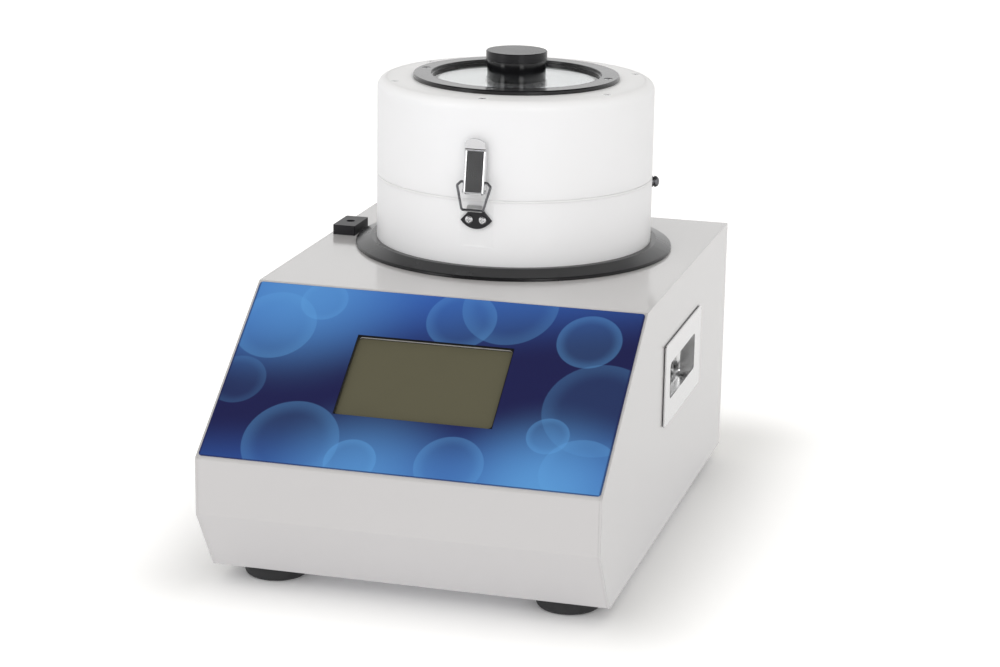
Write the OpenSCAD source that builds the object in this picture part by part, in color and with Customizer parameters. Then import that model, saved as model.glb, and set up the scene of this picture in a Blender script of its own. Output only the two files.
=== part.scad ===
// Bench-top spin coater: a folded steel case with a sloping touch-screen panel, a plastic spin
// bowl with a hinged, latched lid, and a vacuum chuck on a hollow motor spindle.
// Millimetres. X is across, -Y is the operator's side, Z is up, and the feet stand on Z = 0.

/* [Case] */
// Width across the side panels
case_w = 250; // [240:1:280]
// Depth from the nose to the rear panel
case_d = 368; // [360:1:400]
// Height from the bottom edge to the deck
case_h = 160; // [150:1:180]
// Height of the nose's upper fold above the bottom edge
nose_top = 77; // [70:1:85]
// Height of the nose's lower fold above the bottom edge
nose_low = 41.5; // [35:0.5:50]
// How far the bottom edge is set back under the nose
chin_back = 27.5; // [20:0.5:35]
// How far the control slope runs back from the nose
slope_run = 111.5; // [105:0.5:118]
// Thickness of the case sheet
sheet_t = 1.5; // [1:0.1:2]
// Outside radius of the folds
fold_r = 2.5; // [2:0.5:5]
// Height of the rubber feet
foot_h = 11; // [8:0.5:16]
// Radius of the rubber feet
foot_r = 20; // [15:0.5:22]

/* [Bowl and lid] */
// Outside radius of the bowl and the lid
bowl_r = 91.3; // [88:0.1:94]
// Wall thickness of the bowl and the lid
wall_t = 10; // [8:0.5:12]
// Distance of the spindle axis behind the nose
bowl_back = 260; // [258:0.5:262]
// Height of the seam between bowl and lid above the deck
seam_up = 48.1; // [44:0.1:54]
// Height of the lid's top face above the seam
lid_h = 64; // [60:0.5:70]
// Outer radius of the black collar on the deck
collar_r = 105.2; // [103:0.1:106]
// Outer radius of the black ring round the window
ring_r = 68; // [66:0.5:70]
// Inner radius of the black ring round the window
ring_in_r = 55; // [53:0.5:56]
// Outer radius of the lift-off port cap
cap_r = 20.1; // [18:0.1:22]

/* [Drive] */
// Radius of the vacuum chuck's table
chuck_r = 30; // [20:1:50]
// Radius of the hollow spindle
shaft_r = 5; // [4:0.5:6]
// Radius of the motor's round housing
motor_r = 28; // [25:0.5:30]

/* [Screen] */
// Width of the window cut for the touch screen
screen_w = 98.4; // [90:0.1:102]
// Height of the window cut for the touch screen
screen_h = 60; // [55:0.1:66]
// Height of the window's centre up the slope
screen_up = 71.6; // [65:0.1:76]

/* [Hidden] */

PAINT = [0.82, 0.81, 0.79];
STEEL = [0.74, 0.75, 0.76];
BLACK = [0.09, 0.09, 0.10];
PLASTIC = [0.93, 0.94, 0.93];
BRASS = [0.80, 0.65, 0.35];
GREEN = [0.10, 0.35, 0.22];

E = 0.01;                       // overshoot of a cut
barb_out = 18;                  // reach of the hose barbs behind the rear panel
front_y = -(case_d + barb_out) / 2;
rear_y = front_y + case_d;
base_z = foot_h;
deck_z = base_z + case_h;
bowl_y = front_y + bowl_back;
seam_z = deck_z + seam_up;
lid_z = seam_z + lid_h;

slope_rise = case_h - nose_top;
slope_a = atan2(slope_rise, slope_run);
slope_len = norm([slope_run, slope_rise]);

gasket_t = 1;                   // rim gasket, half of it on each side of the seam
bowl_floor_z = deck_z - 21;     // underside of the bowl
plate_t = 6;                    // motor plate
plate_z = bowl_floor_z - plate_t;
motor_len = 58;
motor_z = plate_z - motor_len;
chuck_top_z = seam_z - 27;
ring_t = 2.9;
cap_h = 6.1;
sleeve_h = 12;
glass_t = 4;
top_t = 8;                      // thickness of the lid's top disc

foot_x = 93.5;
foot_front = 55;                // front feet, behind the nose
foot_rear = 50;                 // rear feet, ahead of the rear panel
flange_w = 14;                  // return flanges of the case
post_x = 68;                    // motor plate posts
post_y = 58;

// ---------------------------------------------------------------- outlines and helpers

function unit(v) = v / norm(v);

// Outline moved inwards by d; the points run anticlockwise
function inset(p, d) = let(n = len(p)) [for (i = [0:n - 1])
    let(u = unit(p[i] - p[(i + n - 1) % n]), v = unit(p[(i + 1) % n] - p[i]),
        a = [-u.y, u.x], b = [-v.y, v.x])
    p[i] + (a + b) * d / (1 + a * b)];

// Corner b of an outline as an arc of radius r
function arc_corner(a, b, c, r, n) = r <= 0 ? [b] :
    let(u = unit(a - b), v = unit(c - b), half = acos(u * v) / 2,
        o = b + unit(u + v) * r / sin(half),
        p = b + u * r / tan(half), q = b + v * r / tan(half),
        s = atan2(p.y - o.y, p.x - o.x), e = atan2(q.y - o.y, q.x - o.x),
        turn = (e - s + 540) % 360 - 180)
    [for (i = [0:n]) o + r * [cos(s + turn * i / n), sin(s + turn * i / n)]];

// Outline with each corner rounded by its own radius
function rounded(p, radii, n = 5) = let(m = len(p)) [for (i = [0:m - 1])
    each arc_corner(p[(i + m - 1) % m], p[i], p[(i + 1) % m], radii[i], n)];

module round_rect(w, h, r) {
    polygon(rounded([[w / 2, h / 2], [-w / 2, h / 2], [-w / 2, -h / 2], [w / 2, -h / 2]],
        [r, r, r, r]));
}

// Extrudes a (Y, Z) outline along X, centred
module along_x(w) { rotate([90, 0, 90]) linear_extrude(w, center = true) children(); }

// Extrudes an (X, Z) outline towards the rear from y
module along_y(y, t) { translate([0, y + t, 0]) rotate([90, 0, 0]) linear_extrude(t) children(); }

// Places children on the control slope: X across, Y up the slope, Z out of it
module on_slope() { translate([0, front_y, base_z + nose_top]) rotate([slope_a, 0, 0]) children(); }

module at_bowl(z = 0) { translate([0, bowl_y, z]) children(); }

// Copies children round the spindle axis; angle 0 is the operator's side
module around(angles, r, z) {
    for (a = angles) at_bowl(z) rotate([0, 0, a]) translate([0, -r, 0]) children();
}

module tube(outer, inner, h, fn = 64) {
    difference() {
        cylinder(r = outer, h = h, $fn = fn);
        translate([0, 0, -E]) cylinder(r = inner, h = h + 2 * E, $fn = fn);
    }
}

module mirrored() { children(); mirror([1, 0, 0]) children(); }

// Angle from direction u to direction v, anticlockwise
function turn_of(u, v) = atan2(u.x * v.y - u.y * v.x, u * v);

// Round wire of radius r through flat (X, Y) points, bent at each with the radius bend.
// The bends swell a little and lap over the straights.
module bent_wire(p, bend, r) {
    lap = 0.1;
    last = len(p) - 1;
    ways = [for (i = [0:last - 1]) unit(p[i + 1] - p[i])];
    turns = [0, for (i = [1:last - 1]) turn_of(ways[i - 1], ways[i]), 0];
    cuts = [for (a = turns) a == 0 ? lap : bend * tan(abs(a) / 2)];
    for (i = [0:last - 1]) {
        a = p[i] + ways[i] * (cuts[i] - lap);
        b = p[i + 1] - ways[i] * (cuts[i + 1] - lap);
        translate([a.x, a.y, 0]) rotate([0, 90, atan2(ways[i].y, ways[i].x)])
            cylinder(r = r, h = norm(b - a), $fn = 24);
    }
    for (i = [1:last - 1]) {
        left = turns[i] > 0 ? 1 : -1;
        u = ways[i - 1];
        c = p[i] - u * cuts[i] + [-u.y, u.x] * bend * left;
        translate([c.x, c.y, 0]) rotate([0, 0, atan2(u.y, u.x) - 90 * left + min(turns[i], 0)])
            rotate_extrude(angle = abs(turns[i]), $fn = 48) translate([bend, 0])
                circle(r = r + 0.02, $fn = 24);
    }
}

// Pan-head screw, head up, its seat at the origin
module pan_screw(r, head, head_t, len) {
    translate([0, 0, -len]) cylinder(r = r, h = len, $fn = 20);
    difference() {
        union() {
            cylinder(r = head, h = head_t * 0.55, $fn = 24);
            translate([0, 0, head_t * 0.55])
                cylinder(r1 = head, r2 = head * 0.72, h = head_t * 0.45, $fn = 24);
        }
        for (a = [0, 90]) rotate([0, 0, a])
            translate([-head * 0.55, -head * 0.13, head_t * 0.5]) cube([head * 1.1, head * 0.26, head_t]);
    }
}

// Countersunk screw, its face at the origin
module flat_screw(r, head, len) {
    difference() {
        union() {
            translate([0, 0, -len]) cylinder(r = r, h = len, $fn = 20);
            translate([0, 0, -(head - r)]) cylinder(r1 = r, r2 = head, h = head - r, $fn = 24);
        }
        for (a = [0, 90]) rotate([0, 0, a])
            translate([-head * 0.5, -head * 0.12, -head * 0.3]) cube([head, head * 0.24, head]);
    }
}

// Hole for a countersunk screw, its mouth at the origin
module flat_hole(r, head, len) {
    translate([0, 0, -len]) cylinder(r = r, h = len + E, $fn = 20);
    translate([0, 0, -(head - r)]) cylinder(r1 = r, r2 = head + E, h = head - r + E, $fn = 24);
}

// ---------------------------------------------------------------- case

side_points = [[front_y + slope_run, deck_z], [front_y, base_z + nose_top],
    [front_y, base_z + nose_low], [front_y + chin_back, base_z],
    [rear_y, base_z], [rear_y, deck_z]];
inner_points = inset(side_points, sheet_t);

handle_y = front_y + 218.6;     // recessed carrying handles
handle_z = base_z + 98.2;
handle_w = 110;
handle_h = 53.3;
grip_w = 78;
grip_h = 24;
grip_y = handle_y - 2.7;
grip_z = handle_z + 0.4;
cup_d = 11;
cup_rise = 9;                   // room behind the plate above the mouth, for the finger tips
cup_fall = 5;                   // room below the mouth
cup_middle = (cup_rise - cup_fall) / 2;
cup_t = 1;
cup_round = 3.5;                // radius round the cup's back
handle_t = 1;
handle_gap = 0.6;               // gasket under the handle plate
cup_hole_w = grip_w + 2 * cup_t + 1;
cup_hole_h = grip_h + cup_rise + cup_fall + 2 * cup_t + 1;

base_screws = [for (y = [60, 150, 240, 330], s = [-1, 1]) [s * (case_w / 2 - 8), front_y + y]];
rear_screws = [for (z = [25, 80, 135], s = [-1, 1]) [s * (case_w / 2 - 8), base_z + z]];

module case_outline() {
    polygon(rounded(side_points, [fold_r, fold_r, fold_r, fold_r, 0, 0]));
}

// Wrap of the case: front, slope, deck and the flanges that its side walls are welded to
module case_shell() {
    color(PAINT) {
        difference() {
            along_x(case_w - 2 * sheet_t) case_outline();
            case_cavity();
            at_bowl(deck_z - 5) cylinder(r = bowl_r + 0.5, h = 10, $fn = 128);
            on_slope() translate([0, screen_up, -5]) linear_extrude(10) round_rect(screen_w, screen_h, 2.5);
            for (p = base_screws) translate([p.x, p.y, base_z]) cylinder(r = 1.3, h = 8, $fn = 20);
            for (p = rear_screws) translate([p.x, rear_y - 8, p.y]) rotate([-90, 0, 0])
                cylinder(r = 1.3, h = 9, $fn = 20);
        }
        // Studs that carry the display board
        on_slope() for (x = [-57, 57], y = [-28, 28])
            translate([x, screen_up + y, -sheet_t - 12]) cylinder(r = 1.5, h = 12 + E, $fn = 20);
    }
}

// Flat side wall with the hole for a handle's cup: side is 1 for right, -1 for left
module case_side(side) {
    color(PAINT) difference() {
        translate([side * (case_w - sheet_t) / 2, 0, 0]) along_x(sheet_t) case_outline();
        translate([side * case_w / 2 - 5, grip_y, grip_z + cup_middle]) rotate([90, 0, 90])
            linear_extrude(10) round_rect(cup_hole_w, cup_hole_h, cup_round + cup_t);
    }
}

// Inside of the case: open to the rear and below, inside its return flanges
module case_cavity() {
    in_w = case_w - 2 * sheet_t;
    t = sheet_t;
    along_x(in_w) polygon(rounded([inner_points[0], inner_points[1], inner_points[2],
        [front_y + chin_back + 0.4, base_z + 2 * t], [rear_y - 2 * t, base_z + 2 * t],
        [rear_y - 2 * t, deck_z - t]], [fold_r - t, fold_r - t, fold_r - t, 0, 0, 0]));
    // Seats of the base plate and the rear panel
    translate([-in_w / 2, front_y + chin_back + 2, base_z - E]) cube([in_w, case_d, t + E]);
    translate([-in_w / 2, rear_y - t, base_z - E]) cube([in_w, t + 1, case_h - t]);
    // Openings inside the flanges
    translate([-in_w / 2 + flange_w, front_y + chin_back + flange_w, base_z + t - E])
        cube([in_w - 2 * flange_w, case_d - chin_back - 2 * flange_w, t + 2 * E]);
    translate([-in_w / 2 + flange_w, rear_y - 2 * t - E, base_z + 2 * t])
        cube([in_w - 2 * flange_w, t + 2 * E, case_h - 3 * t - flange_w]);
}

module base_plate() {
    w = case_w - 2 * sheet_t - 0.4;
    y0 = front_y + chin_back + 2.2;
    color(PAINT) difference() {
        translate([-w / 2, y0, base_z]) cube([w, rear_y - sheet_t - 0.2 - y0, sheet_t]);
        foot_places() translate([0, 0, base_z - 1]) cylinder(r = 2.2, h = 4, $fn = 24);
        for (p = base_screws) translate([p.x, p.y, base_z - 1]) cylinder(r = 1.7, h = 4, $fn = 20);
        // Cooling slots under the motor and the power supply
        for (i = [-5:5]) {
            translate([i * 9 - 1.5, bowl_y - 22, base_z - 1]) cube([3, 44, 4]);
            translate([i * 9 - 61.5, front_y + 95, base_z - 1]) cube([3, 50, 4]);
        }
    }
}

inlet_x = -82;
inlet_z = base_z + 42;
switch_z = base_z + 84;
inlet_w = 27;
inlet_h = 32;
rocker_w = 19;
rocker_h = 13;
vac_x = 96;
vac_z = base_z + 26;
drain_x = -40;
drain_y = bowl_y + 52;
drain_z = base_z + 50;
louvres = 10;
louvre_x = 8;
louvre_pitch = 8;
louvre_z = base_z + 110;

module rear_panel() {
    w = case_w - 2 * sheet_t - 0.4;
    color(PAINT) difference() {
        translate([-w / 2, rear_y - sheet_t, base_z + 0.2])
            cube([w, sheet_t, case_h - sheet_t - 0.4]);
        translate([inlet_x, 0, inlet_z]) along_y(rear_y - 5, 10)
            round_rect(inlet_w + 0.2, inlet_h + 0.2, 1.5);
        translate([inlet_x, 0, switch_z]) along_y(rear_y - 5, 10)
            square([rocker_w + 0.2, rocker_h + 0.2], center = true);
        for (p = [[vac_x, vac_z], [drain_x, drain_z]]) translate([p.x, rear_y - 5, p.y]) rotate([-90, 0, 0])
            cylinder(r = p.x > 0 ? 5.1 : 7.1, h = 10, $fn = 32);
        for (p = rear_screws) translate([p.x, rear_y - 5, p.y]) rotate([-90, 0, 0])
            cylinder(r = 1.7, h = 10, $fn = 20);
        // Louvre slots
        for (i = [0:louvres - 1]) translate([louvre_x + i * louvre_pitch, 0, louvre_z])
            along_y(rear_y - 5, 10) round_rect(3, 46, 1.4);
    }
}

module panel_screws() {
    color(STEEL) {
        for (p = base_screws) translate([p.x, p.y, base_z]) rotate([180, 0, 0]) pan_screw(1.3, 2.8, 1.8, 6);
        for (p = rear_screws) translate([p.x, rear_y, p.y]) rotate([-90, 0, 0]) pan_screw(1.3, 2.8, 1.8, 6);
    }
}

module foot_places() {
    for (y = [front_y + foot_front, rear_y - foot_rear], s = [-1, 1])
        translate([s * foot_x, y, 0]) children();
}

module feet() {
    color(BLACK) foot_places() rotate_extrude($fn = 64)
        polygon(concat([[2.2, foot_h], [2.2, 5], [7, 5], [7, 0]],
            arc_corner([7, 0], [foot_r, 0], [foot_r, foot_h], 3.5, 6), [[foot_r, foot_h]]));
}

module foot_screws() {
    color(STEEL) foot_places() {
        translate([0, 0, 5]) rotate([180, 0, 0]) pan_screw(2, 4, 2.6, foot_h + 1);
        // Nut inside the case
        translate([0, 0, base_z + sheet_t]) cylinder(r = 4, h = 3.2, $fn = 6);
    }
}

// ---------------------------------------------------------------- control slope

module control_panel() {
    color([0.16, 0.22, 0.55]) on_slope() difference() {
        translate([0, slope_len / 2 + 0.2, 0]) linear_extrude(0.6)
            round_rect(case_w - 2.8, slope_len - 3.6, 2);
        translate([0, screen_up, -1]) linear_extrude(3) round_rect(screen_w, screen_h, 2.5);
    }
}

glass_w = 105.5;
glass_h = 67.2;

module display_gasket() {
    color(BLACK) on_slope() translate([0, screen_up, -sheet_t - 0.5]) difference() {
        linear_extrude(0.5) square([glass_w, glass_h], center = true);
        translate([0, 0, -1]) linear_extrude(3) round_rect(screen_w, screen_h, 2.5);
    }
}

module display_glass() {
    color([0.36, 0.35, 0.27]) on_slope() translate([0, screen_up, -sheet_t - 2.5])
        linear_extrude(2) square([glass_w, glass_h], center = true);
}

module display_board() {
    color(GREEN) on_slope() translate([0, screen_up, 0]) {
        difference() {
            translate([-61, -33, -sheet_t - 9]) cube([122, 66, 1.6]);
            for (x = [-57, 57], y = [-28, 28])
                translate([x, y, -sheet_t - 12]) cylinder(r = 1.6, h = 8, $fn = 20);
        }
        translate([-52.7, -33, -sheet_t - 7.4 - E]) cube([105.4, 66, 4.9 + E]);
        translate([-30, -20, -sheet_t - 15]) cube([22, 12, 6 + E]);
        translate([8, -8, -sheet_t - 12]) cube([26, 20, 3 + E]);
    }
}

board_x = 58;
board_y = front_y + 105;
board_z = base_z + sheet_t + 8;
board_holes = [for (x = [-46, 46], y = [-38, 38]) [board_x + x, board_y + y]];

module control_board() {
    color(GREEN) {
        difference() {
            translate([board_x - 50, board_y - 42, board_z]) cube([100, 84, 1.6]);
            for (p = board_holes) translate([p.x, p.y, board_z - 1]) cylinder(r = 1.6, h = 4, $fn = 20);
        }
        translate([board_x, board_y, board_z + 1.6 - E]) {
            for (i = [0:3]) translate([-34 + i * 16, 26, 0]) cube([13, 10, 11]);
            for (i = [0:2]) translate([-30 + i * 22, -22, 0]) cylinder(r = 6, h = 18, $fn = 32);
            translate([-16, -8, 0]) cube([26, 26, 2.5]);
            translate([20, -6, 0]) cube([20, 24, 14]);
            translate([-44, -6, 0]) cube([12, 22, 9]);
        }
    }
}

// ---------------------------------------------------------------- deck fittings

block_w = 15.4;
block_d = 29;
block_h = 6.6;
block_x = -(case_w / 2 - 2.6 - block_w / 2);
block_bore = 3;

module post_block() {
    color(BLACK) difference() {
        translate([block_x, bowl_y, deck_z]) linear_extrude(block_h) round_rect(block_w, block_d, 0.6);
        translate([block_x, bowl_y, deck_z + 1.2]) cylinder(r = block_bore, h = block_h, $fn = 32);
    }
}

// Places children on the outside of the right wall: X to the rear, Y up, Z out
module on_side(out) { translate([case_w / 2 + out, handle_y, handle_z]) rotate([90, 0, 90]) children(); }

// Places children at the middle of the grip's mouth
module at_grip() { translate([grip_y - handle_y, grip_z - handle_z, 0]) children(); }

// The cup's space grown by g: a box with round edges, open to the front
module cup_space(g) {
    r = cup_round + g;
    x = grip_w / 2 - cup_round;
    low = cup_round - grip_h / 2 - cup_fall;
    high = grip_h / 2 + cup_rise - cup_round;
    hull() for (u = [-x, x], v = [low, high]) translate([u, v, 0]) {
        translate([0, 0, cup_round - cup_d]) sphere(r = r, $fn = 32);
        translate([0, 0, -1]) cylinder(r = r, h = 1 + E, $fn = 32);
    }
}

// Plate and finger cup, pressed from one sheet
module handle_plates() {
    color([0.86, 0.86, 0.86]) mirrored() on_side(handle_gap) difference() {
        union() {
            linear_extrude(handle_t) round_rect(handle_w, handle_h, 1.2);
            at_grip() cup_space(cup_t);
        }
        at_grip() {
            translate([0, 0, -E]) cup_space(0);
            translate([0, 0, -1]) linear_extrude(3) round_rect(grip_w, grip_h, cup_round);
        }
    }
}

module handle_gaskets() {
    color(BLACK) mirrored() on_side(0) difference() {
        linear_extrude(handle_gap) round_rect(handle_w - 1, handle_h - 1, 1);
        at_grip() translate([0, cup_middle, -1]) linear_extrude(3)
            round_rect(cup_hole_w, cup_hole_h, cup_round + cup_t);
    }
}

module deck_collar() {
    h = 5.9;
    color([0.20, 0.20, 0.21]) at_bowl(deck_z) rotate_extrude($fn = 128)
        polygon([[bowl_r + 0.2, 0], [collar_r - 0.3, 0], [collar_r, 0.3], [collar_r, 1.8],
            [collar_r - 0.4, 2.2], [bowl_r + 4.2, h - 0.1], [bowl_r + 3.8, h], [bowl_r + 0.2, h]]);
}

// ---------------------------------------------------------------- bowl

hub_r = 15.5;
hub_in_r = 12;
bowl_in_r = bowl_r - wall_t;
purge_a = 110;                  // purge port, degrees round from the operator's side
purge_down = 5.9;               // its depth under the seam
hinge_w = 30;
hinge_seat = 1.25;              // depth of the flats that seat the hinge leaves
strike_seat = 0.65;
knuckle_r = 2.8;
hinge_p = knuckle_r + 0.2 - hinge_seat;   // pin axis outside the wall
hinge_y = bowl_y + bowl_r + hinge_p;
strike_screw_x = 4.4;
strike_screw_z = -12;
hinge_screw_x = 9;
hinge_screw_z = 11;

// Flat on the outside of the wall, cut at angle a round the axis
module wall_flat(a, depth, w, z0, z1) {
    at_bowl(0) rotate([0, 0, a]) translate([-w / 2, -bowl_r - 5, z0]) cube([w, 5 + depth, z1 - z0]);
}

module bowl() {
    top = seam_z - gasket_t / 2;
    fz = bowl_floor_z;
    color(PLASTIC) difference() {
        at_bowl() rotate_extrude($fn = 160) polygon(concat(
            [[hub_in_r, fz], [bowl_r - 1, fz], [bowl_r, fz + 1], [bowl_r, top - 0.3], [bowl_r - 0.3, top],
             [bowl_in_r + 0.5, top], [bowl_in_r, top - 0.5]],
            arc_corner([bowl_in_r, top], [bowl_in_r, fz + 7], [66, fz + 6], 6, 6),
            [[66, fz + 6], [hub_r + 2, fz + 11], [hub_r, fz + 13], [hub_r, fz + 25],
             [hub_r - 0.8, fz + 26], [hub_in_r, fz + 26]]));
        translate([drain_x, drain_y, fz - 1]) cylinder(r = 5, h = 20, $fn = 32);
        wall_flat(0, strike_seat, 30, seam_z - 30, seam_z + 1);
        wall_flat(180, hinge_seat, 60, seam_z - 24, seam_z + 1);
        around([purge_a], 0, seam_z - purge_down) rotate([90, 0, 0]) {
            cylinder(r = 2.5, h = bowl_r + 1, $fn = 24);
            translate([0, 0, bowl_r - 0.3]) cylinder(r = 4.6, h = 5, $fn = 32);
        }
        strike_screw_places() translate([0, 0, -8.5]) cylinder(r = 1.2, h = 12, $fn = 20);
        hinge_screw_places(-1) translate([0, 0, -7]) cylinder(r = 1, h = 9, $fn = 20);
    }
}

module rim_gasket() {
    color([0.97, 0.97, 0.95]) at_bowl(seam_z - gasket_t / 2) difference() {
        tube(bowl_r + 0.1, bowl_in_r + 0.7, gasket_t, 128);
        translate([-20, -bowl_r - 5, -1]) cube([40, 6, 4]);
        translate([-30, bowl_r - hinge_seat - 0.3, -1]) cube([60, 6, 4]);
    }
}

// Domed plug in the purge port
module purge_fitting() {
    color(STEEL) around([purge_a], 0, seam_z - purge_down) rotate([90, 0, 0])
        translate([0, 0, bowl_r - 0.3]) rotate_extrude($fn = 40)
            polygon(concat([[0, -7], [2.5, -7], [2.5, 0], [3.8, 0], [3.8, 1.4], [3.1, 1.8], [3.1, 2.3]],
                [[3.8, 2.7]], arc_corner([3.8, 2.7], [3.8, 5.8], [0, 5.8], 3, 6), [[0, 5.8]]));
}

// ---------------------------------------------------------------- latch
// Places by distance out from the wall (p), across (x) and above the seam (z)

pivot_p = 6;                    // lever pin
pivot_z = 7.2;
bail_p = 6.8;                   // where the bail's ends turn in the lever
bail_z = 13.3;
bar_p = 3.3;                    // bail's cross bar in the hook
bar_z = -4;
lean = 10;                      // closed lever leans to the wall
wire_r = 0.8;
pin_r = 1;
lever_w = 14.4;
lever_round = 2;                // round of its long edges
lever_foot = 0.8;               // how far it runs on below the pin
lever_t = 0.8;
lever_n = 2.8;                  // from the lever's pin to the inside of its web
lever_len = 26.5;
strike_p = 1.6;                 // outer face of the strike plate
hook_t = 0.8;
leg_down = 10.3;                // foot of the hook's leg under the seam
hook_w = 10;
hook_in_r = 2.3;
hook_p = bar_p - hook_in_r - hook_t;        // back of the hook's leg
base_seat = 0.3;
ear_x = 5.4;
tab_w = 13.2;
bead_r = 0.8;                   // rolled edges of the lever

module at_front(p, z) { translate([0, bowl_y - bowl_r - p, seam_z + z]) children(); }

// Extrudes a (p, z) outline across, centred
module across(w) {
    at_front(0, 0) rotate([0, 0, 180]) rotate([90, 0, 90]) linear_extrude(w, center = true) children();
}

module strike_screw_places() {
    for (s = [-1, 1]) at_front(strike_p, strike_screw_z) translate([s * strike_screw_x, 0, 0])
        rotate([90, 0, 0]) children();
}

// Fan-shaped plate: a neck, two pointed shoulders and a round foot
module strike_plate() {
    top = -6.5;
    shoulder = [10.1, -6];
    foot_r = 12.1;
    spread = asin(shoulder.x / foot_r);
    foot_z = shoulder.y + foot_r * cos(spread);
    color(BLACK) difference() {
        at_front(-strike_seat, top) rotate([90, 0, 0]) linear_extrude(strike_p + strike_seat)
            polygon(concat([[-5.1, 0], [-5.5, -0.9]],
                [for (i = [-8:8]) [foot_r * sin(i * spread / 8), foot_z - foot_r * cos(i * spread / 8)]],
                [[5.5, -0.9], [5.1, 0]]));
        strike_screw_places() translate([0, 0, -5]) cylinder(r = 1.2, h = 8, $fn = 20);
        // Slot behind its face for the hook's leg
        at_front(hook_p, -leg_down) rotate([90, 0, 0]) translate([-hook_w / 2, 0, 0])
            cube([hook_w, 6, hook_t]);
    }
}

// Hook: a leg in the plate's slot and a curl over the bail's cross bar
module strike_hook() {
    outer = hook_in_r + hook_t;
    curl_z = bar_z + wire_r + 0.15 - hook_in_r;
    tip_z = -6;
    color(STEEL) across(hook_w) {
        translate([bar_p, curl_z]) difference() {
            circle(r = outer, $fn = 48);
            circle(r = hook_in_r, $fn = 48);
            translate([-5, -10]) square([10, 10]);
        }
        translate([hook_p, -leg_down]) square([hook_t, leg_down + curl_z + E]);
        translate([bar_p + hook_in_r, tip_z]) square([hook_t, curl_z - tip_z + E]);
    }
}

module latch_base() {
    color(STEEL) {
        difference() {
            at_front(-base_seat, 0) translate([-6.3, -1.2, 4]) cube([12.6, 1.2, 26]);
            base_screw_places() translate([0, 0, -3]) cylinder(r = 1.1, h = 6, $fn = 20);
        }
        for (s = [-1, 1]) translate([s * ear_x, 0, 0]) difference() {
            across(1) {
                polygon([[0.9 - E, pivot_z - 2.2], [pivot_p, pivot_z - 2.2], [pivot_p + 1.2, pivot_z + 1.8],
                    [0.9 - E, 15]]);
                translate([pivot_p, pivot_z]) circle(r = 2.2, $fn = 32);
            }
            across(3) translate([pivot_p, pivot_z]) circle(r = pin_r, $fn = 24);
        }
    }
}

module base_screw_places() {
    for (z = [18, 26]) at_front(0.9, z) rotate([90, 0, 0]) children();
}

module lever_pin() {
    color(STEEL) {
        across(lever_w + 0.6) translate([pivot_p, pivot_z]) circle(r = pin_r, $fn = 24);
        mirrored() translate([lever_w / 2 + 0.3, 0, 0]) across(0.4) translate([pivot_p, pivot_z])
            circle(r = 1.3, $fn = 24);
    }
}

// Places children in the lever's frame: X across, Y out of the web, Z along the lever
module at_lever() { at_front(pivot_p, pivot_z) rotate([-lean, 0, 0]) rotate([0, 0, 180]) children(); }

// The lever's channel seen along it: a web and two sides with round corners
module channel() {
    web = lever_n + lever_t;
    depth = 12;
    difference() {
        translate([0, web - depth / 2]) round_rect(lever_w, depth, lever_round);
        translate([0, lever_n - depth / 2]) round_rect(lever_w - 2 * lever_t, depth, lever_round - lever_t);
    }
}

// A draw lever: a channel cut to its side view, with rolled ends and a thumb tab
module latch_lever() {
    web = lever_n + lever_t;
    tab_r = 9.4;
    color(STEEL) at_lever() difference() {
        union() {
            intersection() {
                translate([0, 0, -lever_foot]) linear_extrude(lever_foot + lever_len) channel();
                rotate([90, 0, 90]) linear_extrude(lever_w + 2, center = true)
                    polygon([[web + 1, -lever_foot], [0, -lever_foot], [-1.6, 0.6], [-1.6, 15], [1.2, 24],
                        [lever_n - 0.2, 25.4], [lever_n - 0.2, lever_len], [web + 1, lever_len]]);
            }
            for (b = [[-lever_foot + 0.3, 9.6], [lever_len - 0.2, tab_w + 0.2]])
                translate([0, web - bead_r / 2, b[0]]) rotate([0, 90, 0])
                    cylinder(r = bead_r, h = b[1], center = true, $fn = 32);
            // Thumb tab, flared away from the wall
            translate([0, web, lever_len]) rotate([-22, 0, 0]) rotate([90, 0, 0])
                linear_extrude(lever_t) intersection() {
                    translate([-tab_w / 2, 0]) square([tab_w, 9]);
                    translate([0, 7.4 - tab_r]) circle(r = tab_r, $fn = 64);
                }
        }
        rotate([0, 90, 0]) cylinder(r = pin_r + 0.05, h = 40, center = true, $fn = 24);
        bail_place() rotate([0, 90, 0]) cylinder(r = wire_r + 0.05, h = 40, center = true, $fn = 24);
    }
}

// The bail's turning axis in the lever's frame
module bail_place() {
    dp = bail_p - pivot_p;
    dz = bail_z - pivot_z;
    translate([0, dp * cos(lean) + dz * sin(lean), -dp * sin(lean) + dz * cos(lean)]) children();
}

// One bent wire, from end pin to end pin round the cross bar
module latch_bail() {
    drop = [bar_p - bail_p, bar_z - bail_z];
    len = norm(drop);
    color(STEEL) at_front(bail_p, bail_z) rotate([atan2(drop.x, -drop.y) - 90, 0, 0])
        bent_wire([[-6.2, 0], [-8.6, 0], [-11, 2.4], [-7, len], [7, len], [11, 2.4], [8.6, 0], [6.2, 0]],
            1.4, wire_r);
}

module bowl_screws() {
    color(STEEL) {
        strike_screw_places() pan_screw(1.2, 2.5, 1.4, 8);
        hinge_screw_places(-1) pan_screw(1, 2, 1.2, 6);
    }
}

// ---------------------------------------------------------------- hinge

module hinge_screw_places(side) {
    y = bowl_y + bowl_r - hinge_seat + 1.2;
    for (s = [-1, 1]) translate([s * hinge_screw_x, y, seam_z + side * hinge_screw_z])
        rotate([-90, 0, 0]) children();
}

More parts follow.
